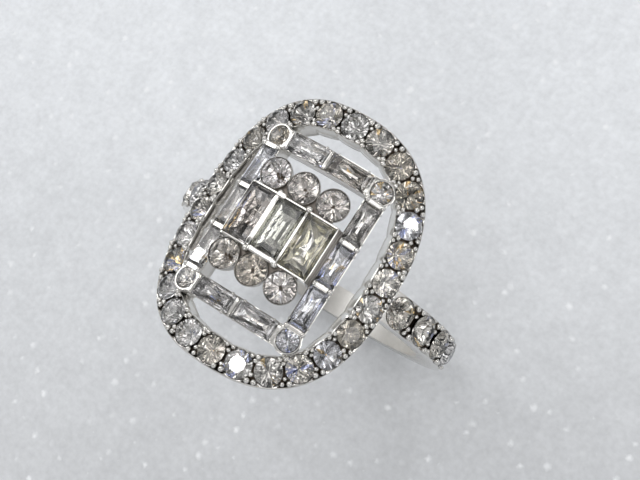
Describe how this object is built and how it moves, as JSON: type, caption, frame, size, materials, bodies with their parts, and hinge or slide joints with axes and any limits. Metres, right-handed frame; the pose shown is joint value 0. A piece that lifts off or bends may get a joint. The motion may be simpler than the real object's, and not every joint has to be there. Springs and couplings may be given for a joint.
{
  "type": "cocktail ring",
  "caption": "Cocktail ring with a bent oblong open halo of round stones, a channel-set frame of baguettes, a raised cluster and stone-set shoulders.",
  "frame": {"origin": "centre of the finger bore, half way across the band", "axes": "+Z from the finger towards the head, +Y along the finger and the long way of the head, +X across the finger"},
  "size_m": [0.0228, 0.0192, 0.0239],
  "materials": {
    "plated_metal": "polished rhodium-tone plating",
    "rhinestone": "faceted, foil-backed"
  },
  "bodies": {
    "root": {"band": "plated_metal", "halo_rim": "plated_metal", "channel_frame": "plated_metal", "centre_head": "plated_metal", "halo_stone_01": "rhinestone", "halo_stone_02": "rhinestone", "halo_stone_03": "rhinestone", "halo_stone_04": "rhinestone", "halo_stone_05": "rhinestone", "halo_stone_06": "rhinestone", "halo_stone_07": "rhinestone", "halo_stone_08": "rhinestone", "halo_stone_09": "rhinestone", "halo_stone_10": "rhinestone", "halo_stone_11": "rhinestone", "halo_stone_12": "rhinestone", "halo_stone_13": "rhinestone", "halo_stone_14": "rhinestone", "halo_stone_15": "rhinestone", "halo_stone_16": "rhinestone", "halo_stone_17": "rhinestone", "halo_stone_18": "rhinestone", "halo_stone_19": "rhinestone", "halo_stone_20": "rhinestone", "halo_stone_21": "rhinestone", "halo_stone_22": "rhinestone", "halo_stone_23": "rhinestone", "halo_stone_24": "rhinestone", "halo_stone_25": "rhinestone", "halo_stone_26": "rhinestone", "frame_baguette_01": "rhinestone", "frame_baguette_02": "rhinestone", "frame_baguette_03": "rhinestone", "frame_baguette_04": "rhinestone", "frame_baguette_05": "rhinestone", "frame_baguette_06": "rhinestone", "frame_baguette_07": "rhinestone", "frame_baguette_08": "rhinestone", "frame_baguette_09": "rhinestone", "frame_baguette_10": "rhinestone", "corner_stones": "rhinestone", "cluster_stone_01": "rhinestone", "cluster_stone_02": "rhinestone", "cluster_stone_03": "rhinestone", "cluster_stone_04": "rhinestone", "cluster_stone_05": "rhinestone", "cluster_stone_06": "rhinestone", "centre_baguette_left": "rhinestone", "centre_baguette_middle": "rhinestone", "centre_baguette_right": "rhinestone", "shoulder_stone_left_1": "rhinestone", "shoulder_stone_left_2": "rhinestone", "shoulder_stone_left_3": "rhinestone", "shoulder_stone_left_4": "rhinestone", "shoulder_stone_right_1": "rhinestone", "shoulder_stone_right_2": "rhinestone", "shoulder_stone_right_3": "rhinestone", "shoulder_stone_right_4": "rhinestone"}
  },
  "joints": []
}
